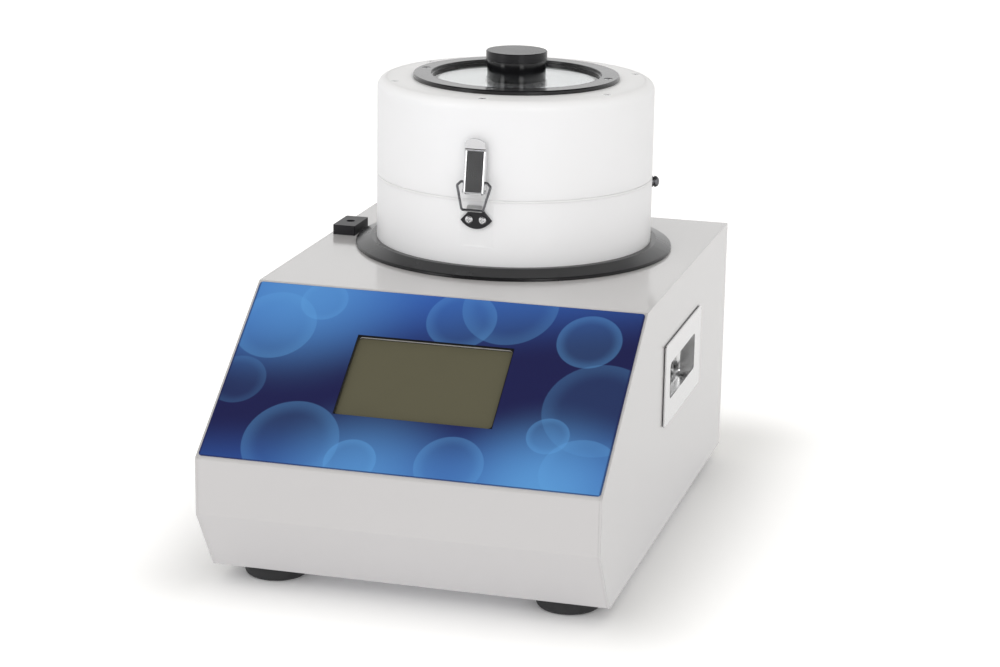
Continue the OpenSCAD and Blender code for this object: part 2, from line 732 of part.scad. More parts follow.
// One leaf: a plate on its flat, and the knuckles that the list gives as [start, end] across
module hinge_leaf(side, knuckles) {
    t = 1.2;
    color(STEEL) difference() {
        union() {
            translate([-hinge_w / 2, bowl_y + bowl_r - hinge_seat, seam_z + (side > 0 ? 3.4 : -18)])
                cube([hinge_w, t, 14.6]);
            for (k = knuckles) translate([k[0], 0, 0]) {
                translate([0, hinge_y, seam_z]) rotate([0, 90, 0])
                    cylinder(r = knuckle_r, h = k[1] - k[0], $fn = 40);
                translate([0, hinge_y - knuckle_r, seam_z + (side > 0 ? 0 : -3.5)])
                    cube([k[1] - k[0], t - 0.2, 3.5]);
            }
        }
        translate([-hinge_w, hinge_y, seam_z]) rotate([0, 90, 0])
            cylinder(r = 1.5 + (side > 0 ? 0.05 : 0), h = 2 * hinge_w, $fn = 32);
        hinge_screw_places(side) translate([0, 0, -4]) cylinder(r = 1.1, h = 8, $fn = 20);
    }
}

module hinge_leaf_low() { hinge_leaf(-1, [[-15, -5.2], [5.2, 15]]); }

module hinge_leaf_high() { hinge_leaf(1, [[-5, 5]]); }

module hinge_pin() {
    color(STEEL) {
        translate([-15.6, hinge_y, seam_z]) rotate([0, 90, 0]) cylinder(r = 1.5, h = 31.2, $fn = 32);
        mirrored() translate([15, hinge_y, seam_z]) rotate([0, 90, 0]) cylinder(r = 2.1, h = 0.8, $fn = 32);
    }
}

// ---------------------------------------------------------------- lid

lid_screw_r = 81.8;
ring_screw_r = 62;
glass_r = 58.8;
top_r = 85;
port_r = 16;                    // hole through the glass

module lid_wall() {
    low = seam_z + gasket_t / 2;
    ledge_r = bowl_in_r - 5.3;
    z1 = lid_z - top_t;
    color(PLASTIC) difference() {
        at_bowl() rotate_extrude($fn = 160) polygon(concat(
            [[bowl_in_r + 0.5, low], [bowl_r - 0.5, low], [bowl_r, low + 0.5]],
            arc_corner([bowl_r, low], [bowl_r, lid_z], [top_r, lid_z], 6.2, 8),
            [[top_r + 0.1, lid_z], [top_r + 0.1, z1], [ledge_r, z1], [ledge_r, z1 - 6],
             [bowl_in_r, z1 - 10], [bowl_in_r, low + 0.5]]));
        wall_flat(0, base_seat, 30, seam_z - 1, seam_z + 38);
        wall_flat(180, hinge_seat, 60, seam_z - 1, seam_z + 24);
        around([0:60:300], lid_screw_r, lid_z) translate([0, 0, -16]) cylinder(r = 1.2, h = 20, $fn = 20);
        hinge_screw_places(1) translate([0, 0, -7]) cylinder(r = 1, h = 9, $fn = 20);
        base_screw_places() translate([0, 0, -7]) cylinder(r = 1, h = 9, $fn = 20);
    }
}

module lid_top() {
    seat_z = lid_z - glass_t - 0.5;
    color(PLASTIC) difference() {
        at_bowl(lid_z - top_t) difference() {
            cylinder(r = top_r, h = top_t, $fn = 160);
            translate([0, 0, -1]) cylinder(r = 51, h = top_t + 2, $fn = 128);
            translate([0, 0, top_t - glass_t - 0.5]) cylinder(r = glass_r + 0.3, h = 10, $fn = 128);
        }
        around([0:60:300], lid_screw_r, lid_z) flat_hole(1.5, 2.9, 20);
        around([0:90:270], ring_screw_r, lid_z) translate([0, 0, -5]) cylinder(r = 1.5, h = 8, $fn = 20);
    }
}

module window_gasket() {
    color(BLACK) at_bowl(lid_z - glass_t - 0.5) tube(glass_r, 51.6, 0.5, 96);
}

module window() {
    color([0.80, 0.88, 0.86, 0.4]) at_bowl(lid_z - glass_t) tube(glass_r, port_r, glass_t, 128);
}

module window_ring() {
    color(BLACK) difference() {
        at_bowl(lid_z) rotate_extrude($fn = 128)
            polygon([[ring_in_r, 0], [ring_r - 0.3, 0], [ring_r, 0.3], [ring_r, ring_t - 0.7],
                [ring_r - 0.7, ring_t], [ring_in_r + 1.5, ring_t], [ring_in_r + 1.2, ring_t - 0.3],
                [ring_in_r + 1.2, 1.3], [ring_in_r, 1]]);
        around([0:90:270], ring_screw_r, lid_z + ring_t) flat_hole(1.5, 2.9, 20);
    }
}

module ring_screws() {
    color([0.35, 0.35, 0.36]) around([0:90:270], ring_screw_r, lid_z + ring_t - 0.3) flat_screw(1.5, 2.6, 7);
}

module lid_screws() {
    color(STEEL) around([0:60:300], lid_screw_r, lid_z - 0.2) flat_screw(1.5, 2.7, top_t - 0.2);
}

module lid_fitting_screws() {
    color(STEEL) {
        hinge_screw_places(1) pan_screw(1, 2, 1.2, 6);
        base_screw_places() pan_screw(1, 1.9, 0.9, 6);
    }
}

module port_sleeve() {
    color(BLACK) at_bowl(lid_z) difference() {
        union() {
            cylinder(r = cap_r - 0.7, h = sleeve_h, $fn = 96);
            translate([0, 0, -glass_t - 6]) cylinder(r = port_r - 0.2, h = glass_t + 6 + E, $fn = 64);
        }
        translate([0, 0, -20]) cylinder(r = 11, h = 40, $fn = 64);
    }
}

module port_nut() {
    color(BLACK) at_bowl(lid_z - glass_t - 4) difference() {
        cylinder(r = 21, h = 4, $fn = 6);
        translate([0, 0, -1]) cylinder(r = port_r - 0.2, h = 6, $fn = 64);
    }
}

// Lift-off cap with a plug that slides in the sleeve
module port_cap() {
    color(BLACK) at_bowl(lid_z + sleeve_h) {
        rotate_extrude($fn = 96) polygon([[0, 0], [cap_r - 0.3, 0], [cap_r, 0.3], [cap_r, cap_h - 0.5],
            [cap_r - 0.5, cap_h], [0, cap_h]]);
        translate([0, 0, -9]) tube(10.95, 9, 9 + E, 64);
    }
}

// ---------------------------------------------------------------- drive

module motor_plate() {
    color(STEEL) difference() {
        translate([0, bowl_y, plate_z]) linear_extrude(plate_t) round_rect(160, 140, 4);
        at_bowl(plate_z - 1) cylinder(r = 19.1, h = 10, $fn = 64);
        translate([drain_x, drain_y, plate_z - 1]) cylinder(r = 9, h = 10, $fn = 40);
        post_places() translate([0, 0, plate_z - 1]) cylinder(r = 2.1, h = 10, $fn = 20);
        motor_screw_places() translate([0, 0, -10]) cylinder(r = 2.1, h = 20, $fn = 20);
    }
}

module post_places() {
    for (x = [-post_x, post_x], y = [-post_y, post_y]) translate([x, bowl_y + y, 0]) children();
}

module motor_screw_places() {
    for (x = [-1, 1], y = [-1, 1]) at_bowl(plate_z) translate([x * 23.5, y * 23.5, 0]) children();
}

// Tall posts under the motor plate and short ones under the control board
module standoffs() {
    low = base_z + sheet_t;
    color(STEEL) {
        post_places() {
            translate([0, 0, low]) cylinder(r = 5, h = plate_z - low, $fn = 6);
            translate([0, 0, plate_z - E]) cylinder(r = 2, h = plate_t - 0.5, $fn = 20);
        }
        for (p = board_holes) translate([p.x, p.y, low]) {
            cylinder(r = 3, h = board_z - low, $fn = 6);
            cylinder(r = 1.5, h = board_z - low + 3.5, $fn = 20);
        }
    }
}

module motor() {
    color([0.25, 0.25, 0.27]) at_bowl(motor_z) difference() {
        union() {
            translate([0, 0, motor_len - 6]) linear_extrude(6) round_rect(57, 57, 4);
            translate([0, 0, 6]) cylinder(r = motor_r, h = motor_len - 10, $fn = 96);
            cylinder(r = motor_r - 1.5, h = 6 + E, $fn = 96);
            translate([0, 0, motor_len - E]) cylinder(r = 19, h = 2, $fn = 64);
            // Cooling ribs
            for (i = [0:6]) translate([0, 0, 12 + i * 5]) cylinder(r = motor_r + 0.8, h = 2, $fn = 96);
        }
        translate([0, 0, -1]) cylinder(r = shaft_r + 0.05, h = motor_len + 10, $fn = 48);
        for (x = [-1, 1], y = [-1, 1]) translate([x * 23.5, y * 23.5, motor_len - 12])
            cylinder(r = 2.1, h = 14, $fn = 20);
    }
}

shaft_low_z = motor_z - 14;

module spindle_shaft() {
    top = chuck_top_z - 5;
    color(STEEL) at_bowl(shaft_low_z) tube(shaft_r, 1.5, top - shaft_low_z, 48);
}

module chuck() {
    t = chuck_top_z;
    color([0.93, 0.93, 0.91]) at_bowl() difference() {
        rotate_extrude($fn = 128) polygon([[1.5, t], [1.5, t - 5], [shaft_r, t - 5], [shaft_r, t - 26],
            [9, t - 26], [9, t - 7], [16.6, t - 8], [16.6, t - 19], [19, t - 19], [19, t - 8], [chuck_r - 1, t - 5],
            [chuck_r, t - 4], [chuck_r, t - 0.5], [chuck_r - 0.5, t],
            [chuck_r - 4, t], [chuck_r - 4, t - 1.6], [chuck_r - 6.4, t - 1.6], [chuck_r - 6.4, t]]);
        // Vacuum channels
        for (r = [8, 15]) translate([0, 0, t - 0.8]) tube(r + 0.6, r - 0.6, 2, 64);
        for (a = [0, 90]) rotate([0, 0, a]) translate([-16, -0.6, t - 0.8]) cube([32, 1.2, 2]);
    }
}

module chuck_ring() {
    color([0.75, 0.25, 0.15]) at_bowl(chuck_top_z - 0.6) rotate_extrude($fn = 96)
        translate([chuck_r - 5.2, 0]) circle(r = 1, $fn = 24);
}

module spindle_seal() {
    color([0.35, 0.35, 0.36]) at_bowl(bowl_floor_z + 1) tube(hub_in_r, shaft_r + 0.2, 7, 48);
}

vac_port_z = motor_z - 16;
hose_bend = 12;

module rotary_joint() {
    color([0.80, 0.81, 0.82]) at_bowl(motor_z - 24) difference() {
        union() {
            cylinder(r = 13, h = 24, $fn = 64);
            translate([0, 0, 8]) rotate([0, 90, 0]) cylinder(r = 2.5, h = 26, $fn = 32);
        }
        translate([0, 0, 10]) cylinder(r = shaft_r + 0.05, h = 20, $fn = 48);
        translate([0, 0, 4]) cylinder(r = 3, h = 8, $fn = 32);
        translate([0, 0, 8]) rotate([0, 90, 0]) cylinder(r = 1.5, h = 40, $fn = 24);
    }
}

// Straight hose from p, running along the direction (rot)
module hose_run(p, rot, outer, inner, len) { translate(p) rotate(rot) tube(outer, inner, len, 32); }

// Quarter bend about centre c, in the plane that rot gives
module hose_bend_at(c, rot, outer, inner, bend) {
    translate(c) rotate(rot) rotate_extrude(angle = 90, $fn = 48) translate([bend, 0]) difference() {
        circle(r = outer, $fn = 32);
        circle(r = inner, $fn = 32);
    }
}

valve_y = bowl_y + 40;
valve_front = valve_y - 12;

module vacuum_hose_in() {
    zt = vac_port_z;
    b = hose_bend;
    color([0.75, 0.85, 0.90]) {
        hose_run([17, bowl_y, zt], [0, 90, 0], 4, 2.5, vac_x - b - 17);
        hose_bend_at([vac_x - b, bowl_y, zt - b], [90, 0, 0], 4, 2.5, b);
        hose_run([vac_x, bowl_y, vac_z + b], [0, 0, 0], 4, 2.5, zt - vac_z - 2 * b);
        hose_bend_at([vac_x, bowl_y + b, vac_z + b], [0, 90, 180], 4, 2.5, b);
        hose_run([vac_x, bowl_y + b, vac_z], [-90, 0, 0], 4, 2.5, valve_front - 2 - bowl_y - b);
    }
}

module vacuum_valve() {
    low = base_z + sheet_t;
    color(BRASS) difference() {
        union() {
            translate([vac_x - 11, valve_front, low]) cube([22, 24, 24]);
            translate([vac_x, valve_front - 10, vac_z]) rotate([-90, 0, 0])
                cylinder(r = 2.5, h = 44, $fn = 32);
            translate([vac_x, valve_y, low + 24 - E]) cylinder(r = 4, h = 30, $fn = 32);
            translate([vac_x, valve_y, low + 26]) cylinder(r = 12, h = 24, $fn = 48);
            translate([vac_x - 24, valve_y - 7, low + 31]) cube([20, 14, 14]);
        }
        translate([vac_x, valve_front - 20, vac_z]) rotate([-90, 0, 0]) cylinder(r = 1.5, h = 24, $fn = 24);
        translate([vac_x, valve_y + 8, vac_z]) rotate([-90, 0, 0]) cylinder(r = 1.5, h = 34, $fn = 24);
    }
}

module vacuum_hose_out() {
    y0 = valve_front + 26;
    color([0.75, 0.85, 0.90]) hose_run([vac_x, y0, vac_z], [-90, 0, 0], 4, 2.5, rear_y - sheet_t - 8 - y0);
}

// Bulkhead fitting: inner stub, nut inside, hexagon and barb outside
module bulkhead(x, z, thread, stub, bore, hex) {
    translate([x, rear_y, z]) rotate([-90, 0, 0]) difference() {
        union() {
            translate([0, 0, -sheet_t - 18]) cylinder(r = stub, h = 18, $fn = 32);
            translate([0, 0, -sheet_t - 7]) cylinder(r = thread, h = 7 + sheet_t + E, $fn = 32);
            translate([0, 0, -sheet_t - 4]) cylinder(r = hex, h = 4, $fn = 6);
            cylinder(r = hex, h = 5, $fn = 6);
            translate([0, 0, 5 - E]) cylinder(r = stub, h = barb_out - 5 + E, $fn = 32);
            for (i = [0:2]) translate([0, 0, 8 + i * 3.2])
                cylinder(r1 = stub + 0.6, r2 = stub, h = 2.6, $fn = 32);
        }
        translate([0, 0, -40]) cylinder(r = bore, h = 80, $fn = 32);
    }
}

module vacuum_barb() { color(BRASS) bulkhead(vac_x, vac_z, 5, 2.5, 1.5, 7.5); }

module drain_barb() { color(PLASTIC) bulkhead(drain_x, drain_z, 7, 4, 2.8, 10); }

module drain_fitting() {
    color(PLASTIC) translate([drain_x, drain_y, bowl_floor_z]) difference() {
        union() {
            translate([0, 0, -5]) cylinder(r = 8, h = 5, $fn = 6);
            cylinder(r = 5, h = 5.6, $fn = 32);
            translate([0, 0, -26]) cylinder(r = 4, h = 26, $fn = 32);
        }
        translate([0, 0, -40]) cylinder(r = 2.8, h = 60, $fn = 32);
    }
}

module drain_hose() {
    b = 16;
    top = bowl_floor_z - 8;
    stub_y = rear_y - sheet_t - 8;
    color([0.88, 0.90, 0.90]) {
        translate([drain_x, drain_y, drain_z + b]) tube(6, 4, top - drain_z - b, 32);
        hose_bend_at([drain_x, drain_y + b, drain_z + b], [0, 90, 180], 6, 4, b);
        hose_run([drain_x, drain_y + b, drain_z], [-90, 0, 0], 6, 4, stub_y - drain_y - b);
    }
}

// ---------------------------------------------------------------- power

module power_supply() {
    low = base_z + sheet_t;
    w = 97;
    d = 129;
    h = 30;
    x0 = -case_w / 2 + flange_w + 3;
    y0 = front_y + 63;
    color([0.70, 0.71, 0.72]) difference() {
        translate([x0, y0, low]) cube([w, d, h]);
        // Terminal bay at the rear end, and rows of vent holes in the cover
        translate([x0 + 8, y0 + d - 16, low + 10]) cube([w - 16, 20, h]);
        for (i = [0:7], j = [0:6]) translate([x0 + 14 + i * 10, y0 + 14 + j * 14, low + h - 2])
            cylinder(r = 2.4, h = 4, $fn = 6);
    }
    color([0.15, 0.15, 0.15]) for (i = [0:6]) translate([x0 + 12 + i * 10.6, y0 + d - 12, low + 10 - E])
        cube([9, 10, 8]);
}

module motor_driver() {
    low = base_z + sheet_t;
    color([0.22, 0.23, 0.25]) translate([-case_w / 2 + flange_w + 3, bowl_y - 42, low]) {
        cube([33, 64, 6]);
        for (i = [0:5]) translate([i * 6, 0, 6 - E]) cube([3, 64, 18]);
    }
}

// C14 inlet with a fuse drawer below the socket
module mains_inlet() {
    color(BLACK) translate([inlet_x, rear_y, inlet_z]) difference() {
        union() {
            along_y(0, 2) round_rect(31.4, 37, 2);
            along_y(-20, 20 + E) round_rect(inlet_w, inlet_h, 1.5);
        }
        // Socket with its two cut corners
        translate([0, 0, 5]) along_y(-15, 20)
            polygon([[-12, -8], [12, -8], [12, 3.5], [7.5, 8], [-7.5, 8], [-12, 3.5]]);
        // Finger notch of the fuse drawer
        translate([0, 0, -11.5]) along_y(0.8, 5) round_rect(22, 7, 0.8);
        translate([-4, -1, -10.2]) cube([8, 6, 1.8]);
        for (p = inlet_pin_places) translate([p.x - 1, -25, p.y - 2]) cube([2, 12, 4]);
    }
}

inlet_pin_places = [[0, 8.3], [-7, 3.3], [7, 3.3]];

module inlet_pins() {
    color(STEEL) for (p = inlet_pin_places) translate([inlet_x + p.x - 1, rear_y - 26, inlet_z + p.y - 2])
        cube([2, 23, 4]);
}

rocker_pin_y = rear_y - 3.2;    // turning axis of the rocker
rocker_a = 9;                   // tilt each way

module rocker_frame() {
    color(BLACK) translate([inlet_x, 0, switch_z]) difference() {
        union() {
            along_y(rear_y, 2) round_rect(21, 15, 1);
            along_y(rear_y - 14, 14 + E) square([rocker_w, rocker_h], center = true);
        }
        along_y(rear_y - 9, 20) square([16, 11], center = true);
        translate([-9, rocker_pin_y, 0]) rotate([0, 90, 0]) cylinder(r = 1.05, h = 18, $fn = 24);
    }
}

// Rocker pressed in at its lower half: the supply is off
module rocker() {
    dish_r = 14;
    color([0.12, 0.12, 0.13]) translate([inlet_x, rocker_pin_y, switch_z]) {
        rotate([-rocker_a, 0, 0]) along_x(15.2) difference() {
            polygon([[-2.6, -3], [-2.6, 3], [3.4, 4.4], [6.2, 4.4], [6.2, -4.4], [3.4, -4.4]]);
            translate([5.2 + dish_r, 0]) circle(r = dish_r, $fn = 96);
        }
        rotate([0, 90, 0]) cylinder(r = 1, h = 17.4, center = true, $fn = 24);
    }
}

case_shell();
base_plate();
rear_panel();
panel_screws();
feet();
foot_screws();
control_panel();
display_gasket();
display_glass();
display_board();
control_board();
post_block();
case_side(-1);  // case_side_left
case_side(1);  // case_side_right
handle_plates();
handle_gaskets();
deck_collar();
bowl();
rim_gasket();
purge_fitting();
strike_plate();
strike_hook();
bowl_screws();
hinge_leaf_low();
hinge_leaf_high();
hinge_pin();
lid_wall();
lid_top();
window_gasket();
window();
window_ring();
ring_screws();
lid_screws();
lid_fitting_screws();
port_sleeve();
port_nut();
port_cap();
latch_base();
lever_pin();
latch_lever();
latch_bail();
motor_plate();
standoffs();
motor();
spindle_shaft();
chuck();
chuck_ring();
spindle_seal();
rotary_joint();
vacuum_hose_in();
vacuum_valve();
vacuum_hose_out();
vacuum_barb();
drain_fitting();
drain_hose();
drain_barb();
power_supply();
motor_driver();
mains_inlet();
inlet_pins();
rocker_frame();
rocker();
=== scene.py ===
"""A bench-top spin coater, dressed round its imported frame.

The case is painted sheet steel with a printed film on its slope, the spin bowl and its lid are
turned white plastic, and the latch, the handles and the fittings are plated metal.
"""

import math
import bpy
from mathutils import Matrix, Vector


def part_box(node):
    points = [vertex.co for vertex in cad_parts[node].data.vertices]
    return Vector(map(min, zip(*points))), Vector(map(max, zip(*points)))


bl_info = {
    "name": "Spin coater",
    "version": (1, 0, 0),
    "blender": (4, 5, 0),
    "location": "View3D > Sidebar > Spin coater",
    "description": "Finishes a spin coater's pieces and sets up its studio",
    "category": "Object",
}

import bpy
from bpy.props import FloatProperty, FloatVectorProperty, PointerProperty
from mathutils import Matrix, Vector

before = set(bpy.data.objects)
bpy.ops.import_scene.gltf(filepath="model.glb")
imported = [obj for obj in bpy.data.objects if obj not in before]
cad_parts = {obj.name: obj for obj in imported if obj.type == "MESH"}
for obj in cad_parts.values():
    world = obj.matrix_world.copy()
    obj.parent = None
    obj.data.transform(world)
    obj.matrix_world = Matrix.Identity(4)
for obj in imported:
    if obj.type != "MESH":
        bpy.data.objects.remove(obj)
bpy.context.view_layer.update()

# The studio, in metres where nothing else is said
WINDOWS = (-41, 35)        # directions of its windows, in degrees to the right of the front
WINDOW_HALF = (7, 8.5)     # half of a window's width in degrees, where it is full and where it ends
FLOOR_SIZE = 14
SEEN_FLOOR = (0.07, 0.27)  # emission added to the floor in view: less under the case than beyond it, a painted shadow round the case
PAINTED_SHADOW_REACH = (0.005, 0.09)  # where that painted shadow begins to lift and where it is gone, from the case's edge
STRIP_SIZE = (0.1, 0.8)
STRIP_REACH = 0.87         # from the bowl's axis to a strip lamp
STRIP_HIGH = 0.42
INNER_UP = 0.012           # from the bowl's rim up to the lamp inside
INNER_RADIUS = 0.03


def screen_colour(red, green, blue):
    """A linear colour from 8-bit screen values."""
    def linear(v):
        v /= 255
        return v / 12.92 if v <= 0.04045 else ((v + 0.055) / 1.055) ** 2.4
    return (linear(red), linear(green), linear(blue))


# ------------------------------------------------------------------ sizes taken from the frame

case_low, case_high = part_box("case_shell")
panel_low, panel_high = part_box("control_panel")
bowl_low, bowl_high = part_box("bowl")
rocker_low, rocker_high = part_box("rocker")
bowl_axis = (bowl_low + bowl_high) / 2
front_y = case_low.y
slope_angle = math.atan2(panel_high.z - panel_low.z, panel_high.y - panel_low.y)


# ------------------------------------------------------------------ settings

def colour_setting(name, description, default):
    return FloatVectorProperty(name=name, description=description, subtype="COLOR", size=3,
                               min=0, max=1, default=default)


class CaseSettings(bpy.types.PropertyGroup):
    """What a user would change on the case and its panel."""
    paint: colour_setting("Paint", "Colour of the painted case", screen_colour(195, 193, 193))
    film_light: colour_setting("Light blue", "Lightest blue of the panel film", screen_colour(92, 160, 222))
    film_mid: colour_setting("Blue", "Main blue of the panel film", screen_colour(44, 92, 176))
    film_dark: colour_setting("Navy", "Darkest blue of the panel film", screen_colour(25, 28, 80))
    screen: colour_setting("Screen", "Colour of the screen when it is off", screen_colour(94, 91, 72))


class BowlSettings(bpy.types.PropertyGroup):
    """What a user would change on the bowl and the lid."""
    plastic: colour_setting("Plastic", "Colour of the bowl and the lid", screen_colour(243, 243, 244))
    black: colour_setting("Black", "Colour of the deck's block, the hook's plate and the inlet",
                          screen_colour(30, 29, 33))


class StudioSettings(bpy.types.PropertyGroup):
    """Camera and light."""
    azimuth: FloatProperty(name="Azimuth", description="Angle of the camera to the right of the front",
                           subtype="ANGLE", default=math.radians(15.26))
    elevation: FloatProperty(name="Elevation", description="Angle of the camera above the bench",
                             subtype="ANGLE", default=math.radians(15.35))
    roll: FloatProperty(name="Roll", description="Lean of the camera", subtype="ANGLE",
                        default=math.radians(0.94))
    eye: FloatVectorProperty(name="Eye", description="Place of the camera", subtype="XYZ", unit="LENGTH",
                             size=3, default=(0.4434, -1.5886, 0.5787))
    lens: FloatProperty(name="Lens", description="Focal length in millimetres", min=20, max=200,
                        default=94.75)
    room: FloatProperty(name="Room", description="Brightness of the room all round", min=0, max=2,
                        default=0.2)
    front: FloatProperty(name="Front", description="Added brightness in front", min=0, max=3,
                         default=1.06)
    left: FloatProperty(name="Left", description="Added brightness at the left", min=0, max=3,
                        default=0.16)
    right: FloatProperty(name="Right", description="Added brightness at the right", min=0, max=3,
                         default=0.24)
    back: FloatProperty(name="Back", description="Added brightness behind", min=0, max=3, default=0.14)
    ceiling: FloatProperty(name="Ceiling", description="Added brightness overhead", min=0, max=3,
                           default=0.66)
    strips: FloatProperty(name="Strips", description="Brightness of the strip lamps", min=0, max=20,
                          default=0.4)
    inside: FloatProperty(name="Inside", description="Power of the lamp inside the bowl in watts", min=0,
                          max=2, default=0.09)
    glow: FloatProperty(name="Floor glow", description="Light that the floor gives off", min=0, max=1,
                        default=0.2)
    white_gloss: FloatProperty(name="White gloss", description="Brightness that gloss sees behind", min=0,
                               max=2, default=0.95)
    dark_gloss: FloatProperty(name="Dark gloss", description="Brightness that gloss sees in front", min=0,
                              max=1, default=0.08)
    windows: FloatProperty(name="Windows", description="Brightness of the windows that gloss sees", min=0,
                           max=20, default=3.2)


# ------------------------------------------------------------------ shader expressions

class Value:
    """A shader socket that can stand in a Python expression."""

    def __init__(self, finish, socket):
        self.finish = finish
        self.socket = socket

    def maths(self, operation, a, b):
        return self.finish.node("ShaderNodeMath", {"operation": operation}, {0: a, 1: b})["Value"]

    def __add__(self, other):
        return self.maths("ADD", self, other)

    def __radd__(self, other):
        return self.maths("ADD", other, self)

    def __sub__(self, other):
        return self.maths("SUBTRACT", self, other)

    def __rsub__(self, other):
        return self.maths("SUBTRACT", other, self)

    def __mul__(self, other):
        return self.maths("MULTIPLY", self, other)

    def __rmul__(self, other):
        return self.maths("MULTIPLY", other, self)

    def __truediv__(self, other):
        return self.maths("DIVIDE", self, other)

    def __pow__(self, other):
        return self.maths("POWER", self, other)

    def __abs__(self):
        return self.maths("ABSOLUTE", self, 0)

    def larger(self, other):
        return self.maths("MAXIMUM", self, other)

    def above(self, other):
        return self.maths("GREATER_THAN", self, other)


class Shading:
    """A node tree under construction."""

    def __init__(self, tree):
        self.tree = tree
        self.tree.nodes.clear()

    def fill(self, socket, value):
        """Links a value to a socket, or sets the socket to it."""
        if isinstance(value, Value):
            self.tree.links.new(value.socket, socket)
        elif hasattr(socket.default_value, "__len__") and len(socket.default_value) == 4 and len(value) == 3:
            socket.default_value = (*value, 1)
        else:
            socket.default_value = value

    def node(self, kind, settings=None, sockets=None):
        """Adds a node and returns its outputs by name; sockets are named or numbered."""
        node = self.tree.nodes.new(kind)
        for name, setting in (settings or {}).items():
            setattr(node, name, setting)
        for name, value in (sockets or {}).items():
            self.fill(node.inputs[name], value)
        return {output.name: Value(self, output) for output in node.outputs if output.enabled}

    def split(self, vector):
        """The three parts of a vector."""
        parts = self.node("ShaderNodeSeparateXYZ", None, {"Vector": vector})
        return parts["X"], parts["Y"], parts["Z"]

    def join(self, x, y, z):
        return self.node("ShaderNodeCombineXYZ", None, {"X": x, "Y": y, "Z": z})["Vector"]

    def noise(self, vector, scale, detail=2):
        return self.node("ShaderNodeTexNoise", None,
                         {"Vector": vector, "Scale": scale, "Detail": detail})["Fac"]

    def stretched(self, vector, scale):
        """The vector times a scale on each axis."""
        return self.node("ShaderNodeVectorMath", {"operation": "MULTIPLY"}, {0: vector, 1: scale})["Vector"]

    def fade(self, value, start, end):
        """0 before start, 1 after end, smooth between."""
        return self.node("ShaderNodeMapRange", {"interpolation_type": "SMOOTHSTEP"},
                         {"Value": value, "From Min": start, "From Max": end})["Result"]

    def mix(self, factor, a, b):
        """From colour a at 0 to colour b at 1."""
        return self.node("ShaderNodeMix", {"data_type": "RGBA"}, {0: factor, 6: a, 7: b})["Result"]

    def tone(self, factor, colour):
        """The colour made darker or lighter by the factor."""
        return self.mix(factor, (0, 0, 0), colour)

    def bump(self, height, distance, strength=1.0, normal=None):
        sockets = {"Height": height, "Distance": distance, "Strength": strength}
        if normal is not None:
            sockets["Normal"] = normal
        return self.node("ShaderNodeBump", None, sockets)["Normal"]

    def show(self, shader, kind):
        """Gives the shader to an output node of a kind."""
        output = self.tree.nodes.new(kind)
        self.tree.links.new(shader.socket, output.inputs["Surface"])


class Finish(Shading):
    """A material under construction, round one Principled shader."""

    def __init__(self, name):
        self.material = bpy.data.materials.new(name)
        self.material.use_nodes = True
        super().__init__(self.material.node_tree)
        self.shader = self.tree.nodes.new("ShaderNodeBsdfPrincipled")
        self.show(Value(self, self.shader.outputs[0]), "ShaderNodeOutputMaterial")

    def surface(self, sockets):
        """Fills the shader's sockets and returns the material."""
        for name, value in sockets.items():
            self.fill(self.shader.inputs[name], value)
        return self.material

    def place(self):
        """The place of a point on its piece."""
        return self.node("ShaderNodeTexCoord")["Object"]

    def soft_edges(self, radius):
        """A normal that rounds the sharp edges."""
        return self.node("ShaderNodeBevel", {"samples": 6}, {"Radius": radius})["Normal"]


def dress(material, *nodes):
    """Gives CAD nodes a material."""
    for name in nodes:
        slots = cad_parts[name].data.materials
        slots.clear()
        slots.append(material)


# ------------------------------------------------------------------ finishes

EVEN_RADIUS = (1, 1, 1)        # light of every colour spreads as far under a surface
CUT_SHADE_FADE = (0.0003, 0.0006)  # the fade of the painted shade on the cut round the screen, from full to none

# Soft patches of light on the panel film: across, up the slope, radius, softness, strength
FILM_GLOWS = (
    (0.088, -0.004, 0.040, 0.034, 0.8),
    (-0.020, -0.008, 0.038, 0.034, 0.6),
    (-0.095, 0.142, 0.050, 0.045, 0.6),
)
# Discs of the panel film: across, up the slope, radius, strength
FILM_DISCS = (
    (-0.104, 0.104, 0.026, 0.30), (-0.078, 0.126, 0.015, 0.34), (-0.116, 0.060, 0.018, 0.14),
    (-0.070, 0.018, 0.030, 0.26), (-0.030, 0.008, 0.016, 0.40), (0.012, 0.120, 0.022, 0.26),
    (0.040, 0.134, 0.030, 0.22), (0.094, 0.112, 0.020, 0.30), (0.110, 0.062, 0.034, 0.18),
    (0.084, 0.040, 0.013, 0.34), (0.030, 0.012, 0.021, 0.30), (0.108, 0.016, 0.024, 0.30),
)
FILM_HALF = (panel_high.x - panel_low.x) / 2
FILM_RISE = (panel_high.y - panel_low.y) / math.cos(slope_angle) / 2
FILM_MIDDLE = ((panel_high.y + panel_low.y) / 2 - front_y) / math.cos(slope_angle)
SCREEN_HALF = 0.0492      # half of the screen's window, across
SCREEN_RISE = 0.0300      # half of it, up the slope
SCREEN_UP = 0.0716        # its middle, up the slope


def up_slope(y):
    """How far a point of the slope lies from the front, along the slope."""
    return (y - front_y) / math.cos(slope_angle)


def beyond_screen(x, up):
    """How far a point of the slope lies outside the screen's window."""
    return (abs(x) - SCREEN_HALF).larger(abs(up - SCREEN_UP) - SCREEN_RISE)


